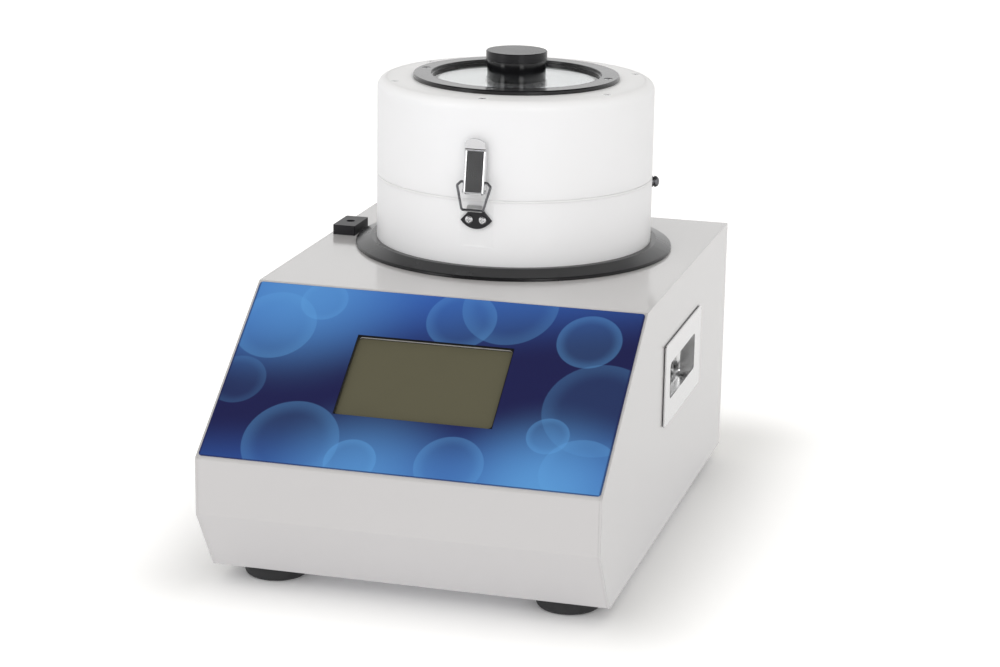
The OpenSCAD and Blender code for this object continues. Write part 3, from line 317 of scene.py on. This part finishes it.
def painted_sheet(colour):
    """Satin stoving enamel with a fine orange peel and faint flake; the cut round the screen is painted near
    black as shade.
    """
    f = Finish("case paint")
    place = f.place()
    peel = f.noise(place, 900)
    cloud = f.noise(place, 9, 3)
    flake = f.noise(place, 5200, 1)
    tone = 0.965 + 0.05 * cloud + 0.05 * (flake - 0.5)
    shade = f.tone(tone, colour)
    x, y, z = f.split(place)
    # painted shade: the cut wall round the screen is painted near black where it lies in shade
    cut = 1 - f.fade(beyond_screen(x, up_slope(y)), *CUT_SHADE_FADE)
    shade = f.mix(cut * y.above(front_y + 0.01) * z.above(case_low.z + 0.05), shade, (0.01, 0.01, 0.012))
    return f.surface({"Base Color": shade, "Roughness": 0.42 + 0.1 * cloud, "Specular IOR Level": 0.3,
                      "Coat Weight": 1.0, "Coat Roughness": 0.13, "Coat IOR": 1.7,
                      "Normal": f.bump(peel, 0.00003, 0.3, f.soft_edges(0.0008))})


def printed_film(light, mid, dark):
    """Gloss film printed with see-through discs on a ground that fades from blue to navy."""
    f = Finish("panel film")
    place = f.place()
    x, y, z = f.split(place)
    up = up_slope(y)

    def disc(centre_x, centre_up, radius, soft):
        """The distance from a disc's centre, and 1 inside the disc."""
        dx = x - centre_x
        dy = up - centre_up
        distance = (dx * dx + dy * dy) ** 0.5
        return distance, 1 - f.fade(distance, radius - soft, radius + soft)

    ground = f.mix(f.fade(up - 0.22 * x, 0.080, 0.150), dark, mid)
    shade = f.mix(0.8 * (1 - f.fade(up - 0.12 * x, -0.008, 0.048)), ground, mid)
    for centre_x, centre_up, radius, soft, strength in FILM_GLOWS:
        shade = f.mix(strength * disc(centre_x, centre_up, radius, soft)[1], shade, light)
    for centre_x, centre_up, radius, strength in FILM_DISCS:
        distance, inside = disc(centre_x, centre_up, radius, 0.0004)
        rim = f.fade(distance, radius * 0.62, radius) * inside
        shade = f.mix(strength * (0.35 * inside + 0.65 * rim), shade, light)
    dots = f.noise(place, 2600, 1)
    shade = f.tone(0.94 + 0.12 * dots, shade)
    edge = (abs(x) / FILM_HALF).larger(abs(up - FILM_MIDDLE) / FILM_RISE)
    shade = f.mix(0.7 * f.fade(edge, 0.988, 0.996), shade, dark)
    # painted shade: the film's cut wall round the screen is painted near black where it lies in shade
    shade = f.mix(1 - f.fade(beyond_screen(x, up), *CUT_SHADE_FADE), shade, (0.004, 0.004, 0.006))
    return f.surface({"Base Color": shade, "Roughness": 0.3 + 0.08 * dots, "Specular IOR Level": 0.3,
                      "Coat Weight": 0.5, "Coat Roughness": 0.1, "Normal": f.bump(dots, 0.000008, 0.3)})


def screen_glass(colour):
    """Touch glass over a screen that is off."""
    f = Finish("screen glass")
    place = f.place()
    cloud = f.noise(place, 25)
    shade = f.tone(0.9 + 0.2 * cloud, colour)
    return f.surface({"Base Color": shade, "Roughness": 0.3, "Specular IOR Level": 0.3, "Coat Weight": 0.4,
                      "Coat Roughness": 0.08, "Normal": f.bump(f.noise(place, 1500, 1), 0.000005, 0.2)})


def turned_plastic(colour):
    """White plastic with the faint rings that turning leaves."""
    f = Finish("bowl plastic")
    place = f.place()
    cloud = f.noise(place, 14, 3)
    rings = f.noise(f.stretched(place, (6, 6, 1400)), 1)
    shade = f.tone(0.97 + 0.05 * cloud, colour)
    return f.surface({"Base Color": shade, "Roughness": 0.36 + 0.1 * cloud, "Subsurface Weight": 0.18,
                      "Subsurface Radius": EVEN_RADIUS, "Subsurface Scale": 0.008,
                      "Coat Weight": 0.1, "Coat Roughness": 0.3,
                      "Normal": f.bump(rings, 0.00002, 0.25, f.soft_edges(0.0002))})


def moulded_black(name, colour, roughness, coat):
    """Black plastic with a fine grain; coat is how glossy it is."""
    f = Finish(name)
    place = f.place()
    grain = f.noise(place, 1600)
    cloud = f.noise(place, 30)
    shade = f.tone(0.9 + 0.2 * cloud, colour)
    return f.surface({"Base Color": shade, "Roughness": roughness + 0.08 * cloud, "Coat Weight": coat,
                      "Specular IOR Level": 0.35, "Coat Roughness": 0.1,
                      "Normal": f.bump(grain, 0.00002, 0.3, f.soft_edges(0.0003))})


ON_MARK_UP = 0.0024       # the on mark's middle over the rocker's
OFF_MARK_DOWN = 0.0027    # the off mark's middle under it
BAR_SLIM = 3              # the on mark's height over its width
RING_RADIUS = 0.0010      # the off mark's
ROCKER_FACE = 0.0045      # depth of the face that carries the marks


def marked_rocker(colour):
    """Black rocker with its on and off marks printed in white."""
    f = Finish("rocker black")
    place = f.place()
    x, y, z = f.split(place)
    middle = (rocker_low + rocker_high) / 2
    across = x - middle.x
    on = z - (middle.z + ON_MARK_UP)
    off = z - (middle.z - OFF_MARK_DOWN)
    bar = 1 - f.fade((abs(across) * BAR_SLIM).larger(abs(on)), 0.0011, 0.0013)
    ring = 1 - f.fade(abs((across * across + off * off) ** 0.5 - RING_RADIUS), 0.00018, 0.00028)
    marks = bar.larger(ring) * y.above(rocker_high.y - ROCKER_FACE)
    grain = f.noise(place, 1500)
    shade = f.mix(marks, colour, (0.75, 0.75, 0.75))
    return f.surface({"Base Color": shade, "Roughness": 0.3 + 0.15 * grain,
                      "Normal": f.bump(grain, 0.00002, 0.3, f.soft_edges(0.0003))})


def rubber(name, colour):
    """Matt black or red rubber with a coarse grain and pale dust."""
    f = Finish(name)
    place = f.place()
    grain = f.noise(place, 1200, 3)
    dust = f.noise(place, 60, 3)
    shade = f.mix(f.fade(dust, 0.45, 0.8) * 0.25, colour, (0.12, 0.115, 0.11))
    return f.surface({"Base Color": shade, "Roughness": 0.62 + 0.2 * dust,
                      "Normal": f.bump(grain, 0.00006, 0.5, f.soft_edges(0.0006))})


def silicone(colour):
    """Milky silicone rubber with a little bloom."""
    f = Finish("silicone")
    bloom = f.noise(f.place(), 90, 3)
    shade = f.tone(0.96 + 0.05 * bloom, colour)
    return f.surface({"Base Color": shade, "Roughness": 0.4 + 0.2 * bloom, "Subsurface Weight": 0.3,
                      "Subsurface Radius": EVEN_RADIUS, "Subsurface Scale": 0.003})


def metal(name, colour, roughness):
    """Plated or finished metal with a fine grain and an uneven shine."""
    f = Finish(name)
    place = f.place()
    grain = f.noise(place, 700, 3)
    cloud = f.noise(place, 40)
    shade = f.tone(0.92 + 0.14 * cloud, colour)
    return f.surface({"Base Color": shade, "Metallic": 1.0, "Roughness": roughness + 0.12 * cloud,
                      "Normal": f.bump(grain, 0.00001, 0.4, f.soft_edges(0.0003))})


def clear_glass():
    """Clear glass, faintly green and faintly hazed."""
    f = Finish("window glass")
    place = f.place()
    haze = f.noise(place, 50, 3)
    return f.surface({"Base Color": (0.93, 0.97, 0.96), "Roughness": 0.02 + 0.03 * haze,
                      "Transmission Weight": 1.0, "IOR": 1.5, "Alpha": 0.9})


def board_green():
    """A circuit board's lacquer over a pattern of tracks."""
    f = Finish("circuit board")
    place = f.place()
    tracks = f.node("ShaderNodeTexBrick", None, {"Vector": place, "Scale": 300, "Mortar Size": 0.04})["Fac"]
    shade = f.mix(tracks, screen_colour(18, 84, 52), screen_colour(60, 130, 80))
    return f.surface({"Base Color": shade, "Roughness": 0.4, "Normal": f.bump(tracks, 0.00003, 0.5)})


def hose_plastic():
    """Pale, cloudy hose."""
    f = Finish("hose")
    place = f.place()
    cloud = f.noise(place, 60)
    shade = f.mix(cloud, (0.62, 0.70, 0.74), (0.80, 0.86, 0.88))
    return f.surface({"Base Color": shade, "Roughness": 0.25 + 0.1 * cloud})


# ------------------------------------------------------------------ operators

class SPINCOATER_OT_stage(bpy.types.Operator):
    """Floor, light and camera"""
    bl_idname = "spincoater.stage"
    bl_label = "Studio"

    def execute(self, context):
        settings = context.scene.spincoater_studio
        self.floor(settings.glow)
        self.world(settings)
        self.lamps(settings.strips)
        self.inner_lamp(settings.inside)
        self.camera(settings)
        context.scene.view_settings.view_transform = "Standard"
        return {"FINISHED"}

    def floor(self, glow):
        """A white floor that fades into the background, with a painted shadow round the case."""
        bpy.ops.object.select_all(action="DESELECT")
        bpy.ops.mesh.primitive_plane_add(size=FLOOR_SIZE)
        floor = bpy.context.object
        floor.name = "floor"
        f = Finish("floor")
        x, y, z = f.split(f.place())
        aside = (abs(x) - case_high.x).larger(0)
        ahead = (abs(y - bowl_axis.y / 2) - (case_high.y - front_y) / 2).larger(0)
        outside = (aside * aside + ahead * ahead) ** 0.5
        direct = f.node("ShaderNodeLightPath")["Is Camera Ray"]
        # painted shadow: the floor in view glows less near the case, which darkens it there
        seen = (SEEN_FLOOR[0] + SEEN_FLOOR[1] * f.fade(outside, *PAINTED_SHADOW_REACH)) * direct
        glow = glow * (1 - direct)
        f.surface({"Base Color": (0.93, 0.93, 0.93), "Roughness": 1.0, "Specular IOR Level": 0.0,
                   "Emission Color": f.join(seen + 0.97 * glow, seen + 0.98 * glow, seen + 1.04 * glow),
                   "Emission Strength": 1.0})
        floor.data.materials.append(f.material)

    def world(self, settings):
        """A pale room, lightest in front and overhead; light from above and the right is warmer.

        Gloss sees white behind and beside, two tall windows in front, and dark elsewhere.
        """
        world = bpy.data.worlds.new("studio")
        world.use_nodes = True
        s = Shading(world.node_tree)
        x, y, z = s.split(s.node("ShaderNodeTexCoord")["Generated"])
        seen = s.node("ShaderNodeLightPath")
        behind = s.fade(y + 0.35 * abs(x), -0.75, -0.15)
        shine = settings.dark_gloss + settings.white_gloss * behind * (1 - s.fade(z, 0.45, 0.8))
        level_part = (x * x + y * y) ** 0.5
        for azimuth in WINDOWS:
            a = math.radians(azimuth)
            toward = (math.sin(a) * x - math.cos(a) * y) / level_part
            window = s.fade(toward, *(math.cos(math.radians(half)) for half in reversed(WINDOW_HALF)))
            shine = shine + settings.windows * window * s.fade(z, -0.35, -0.2) * (1 - s.fade(z, 0.5, 0.6))
        warm = settings.ceiling * s.fade(z, 0.55, 0.85) + settings.right * s.fade(x, 0.2, 0.8)
        lit = (warm + settings.room + settings.front * s.fade(0 - y, 0.2, 0.8)
               + settings.left * s.fade(0 - x, 0.2, 0.8) + settings.back * s.fade(y, 0.2, 0.8))
        plain = lit + (1 - lit) * seen["Is Camera Ray"].larger(seen["Is Transmission Ray"])
        level = plain + (shine - plain) * seen["Is Glossy Ray"]
        tint = warm / lit * seen["Is Diffuse Ray"]
        colour = s.join(1 + 0.02 * tint, 1 - 0.005 * tint, 1 - 0.06 * tint)
        s.show(s.node("ShaderNodeBackground", None, {"Color": colour, "Strength": level})["Background"],
               "ShaderNodeOutputWorld")
        bpy.context.scene.world = world

    def lamps(self, radiance):
        """Two upright strip lamps in front."""
        for name, azimuth in zip(("left strip", "right strip"), WINDOWS):
            a = math.radians(azimuth)
            place = bowl_axis + STRIP_REACH * Vector((math.sin(a), -math.cos(a), 0))
            place.z = STRIP_HIGH
            self.lamp(name, place, (math.pi / 2, 0, a), STRIP_SIZE, radiance)

    def inner_lamp(self, power):
        """A small lamp inside the bowl, so that its inside shows through the window."""
        bpy.ops.object.light_add(type="POINT", location=(0, bowl_axis.y, bowl_high.z + INNER_UP))
        light = bpy.context.object
        light.name = "inner lamp"
        light.data.shadow_soft_size = INNER_RADIUS
        light.data.energy = power
        light.visible_camera = False
        light.visible_transmission = False
        light.visible_glossy = False

    def lamp(self, name, place, turn, size, radiance):
        """An area lamp of an even radiance that the camera doesn't see."""
        bpy.ops.object.light_add(type="AREA", location=place)
        light = bpy.context.object
        light.name = name
        light.data.shape = "RECTANGLE"
        light.data.size, light.data.size_y = size
        light.data.energy = radiance * math.pi * size[0] * size[1]
        light.rotation_euler = turn
        light.visible_camera = False

    def camera(self, settings):
        """A camera at the set place, turned to the set angles."""
        a, e, r = settings.azimuth, settings.elevation, settings.roll
        back = Vector((math.sin(a) * math.cos(e), -math.cos(a) * math.cos(e), math.sin(e)))
        level = Vector((math.cos(a), math.sin(a), 0))
        right = level * math.cos(r) + back.cross(level) * math.sin(r)
        up = back.cross(right)
        data = bpy.data.cameras.new("camera")
        data.lens = settings.lens
        data.sensor_width = 36
        data.clip_end = 50
        camera = bpy.data.objects.new("camera", data)
        turn = Matrix((right, up, back)).transposed().to_4x4()
        camera.matrix_world = Matrix.Translation(settings.eye) @ turn
        bpy.context.scene.collection.objects.link(camera)
        bpy.context.scene.camera = camera


class SPINCOATER_OT_case(bpy.types.Operator):
    """Paints the case, its plates and the panel film, and finishes the screen"""
    bl_idname = "spincoater.case"
    bl_label = "Case"

    def execute(self, context):
        s = context.scene.spincoater_case
        dress(painted_sheet(s.paint), "case_shell", "case_side_left", "case_side_right",
              "base_plate", "rear_panel")
        dress(printed_film(s.film_light, s.film_mid, s.film_dark), "control_panel")
        dress(screen_glass(s.screen), "display_glass")
        dress(rubber("foot rubber", (0.02, 0.02, 0.021)), "feet")
        dress(rubber("foam", (0.025, 0.025, 0.025)), "display_gasket", "handle_gaskets", "window_gasket",
              "spindle_seal")
        dress(metal("handle metal", (0.74, 0.74, 0.74), 0.16), "handle_plates")
        dress(metal("screw steel", (0.62, 0.62, 0.63), 0.25), "panel_screws", "foot_screws")
        return {"FINISHED"}


class SPINCOATER_OT_bowl(bpy.types.Operator):
    """Finishes the bowl, the lid, the window and the port"""
    bl_idname = "spincoater.bowl"
    bl_label = "Bowl and lid"

    def execute(self, context):
        s = context.scene.spincoater_bowl
        dress(turned_plastic(s.plastic), "bowl", "lid_wall", "lid_top", "drain_fitting", "drain_barb")
        dress(silicone((0.96, 0.96, 0.96)), "rim_gasket")
        dress(moulded_black("collar black", (0.005, 0.005, 0.006), 0.24, 0.12), "deck_collar")
        dress(moulded_black("port black", (0.008, 0.008, 0.009), 0.05, 0.5), "port_sleeve", "port_nut")
        dress(moulded_black("cap black", (0.008, 0.008, 0.010), 0.22, 0.0), "port_cap")
        dress(moulded_black("ring black", (0.008, 0.008, 0.009), 0.16, 0.3), "window_ring")
        dress(moulded_black("block black", s.black, 0.4, 0.1), "post_block", "strike_plate")
        dress(clear_glass(), "window")
        dress(metal("fastener steel", (0.70, 0.70, 0.71), 0.2), "ring_screws", "lid_screws", "bowl_screws",
              "lid_fitting_screws", "lever_pin")
        dress(metal("plated steel", (0.72, 0.72, 0.73), 0.1), "latch_base", "latch_lever", "hinge_leaf_low",
              "hinge_leaf_high", "hinge_pin")
        dress(metal("dark wire", (0.16, 0.16, 0.17), 0.2), "latch_bail", "purge_fitting")
        dress(metal("satin steel", (0.80, 0.80, 0.80), 0.5), "strike_hook")
        return {"FINISHED"}


class SPINCOATER_OT_works(bpy.types.Operator):
    """Finishes the drive, the hoses and the electrics"""
    bl_idname = "spincoater.works"
    bl_label = "Works"

    def execute(self, context):
        black = context.scene.spincoater_bowl.black
        dress(metal("milled aluminium", (0.72, 0.73, 0.75), 0.3), "motor_plate", "rotary_joint")
        dress(metal("turned steel", (0.60, 0.60, 0.62), 0.22), "standoffs", "spindle_shaft", "power_supply")
        dress(metal("brass", (0.78, 0.58, 0.26), 0.22), "vacuum_valve", "vacuum_barb", "inlet_pins")
        dress(moulded_black("motor black", (0.03, 0.03, 0.032), 0.4, 0.1), "motor", "motor_driver")
        dress(moulded_black("inlet black", black, 0.35, 0.1), "mains_inlet", "rocker_frame")
        dress(marked_rocker(black), "rocker")
        dress(turned_plastic((0.78, 0.78, 0.74)), "chuck")
        dress(rubber("red rubber", (0.35, 0.06, 0.03)), "chuck_ring")
        dress(board_green(), "display_board", "control_board")
        dress(hose_plastic(), "vacuum_hose_in", "vacuum_hose_out", "drain_hose")
        return {"FINISHED"}


class SPINCOATER_PT_panel(bpy.types.Panel):
    """Lists the steps that dress the spin coater"""
    bl_idname = "SPINCOATER_PT_panel"
    bl_label = "Spin coater"
    bl_space_type = "VIEW_3D"
    bl_region_type = "UI"
    bl_category = "Spin coater"

    def draw(self, context):
        for step in STEPS:
            self.layout.operator(step.bl_idname)
        for group in ("spincoater_case", "spincoater_bowl", "spincoater_studio"):
            settings = getattr(context.scene, group)
            for name in settings.__annotations__:
                self.layout.prop(settings, name)


STEPS = (SPINCOATER_OT_stage, SPINCOATER_OT_case, SPINCOATER_OT_bowl, SPINCOATER_OT_works)
CLASSES = (CaseSettings, BowlSettings, StudioSettings, *STEPS, SPINCOATER_PT_panel)


def register():
    for cls in CLASSES:
        bpy.utils.register_class(cls)
    bpy.types.Scene.spincoater_case = PointerProperty(type=CaseSettings)
    bpy.types.Scene.spincoater_bowl = PointerProperty(type=BowlSettings)
    bpy.types.Scene.spincoater_studio = PointerProperty(type=StudioSettings)


def unregister():
    del bpy.types.Scene.spincoater_case
    del bpy.types.Scene.spincoater_bowl
    del bpy.types.Scene.spincoater_studio
    for cls in reversed(CLASSES):
        bpy.utils.unregister_class(cls)


def main():
    register()
    bpy.ops.spincoater.stage()
    bpy.ops.spincoater.case()
    bpy.ops.spincoater.bowl()
    bpy.ops.spincoater.works()


if __name__ == "__main__":
    main()
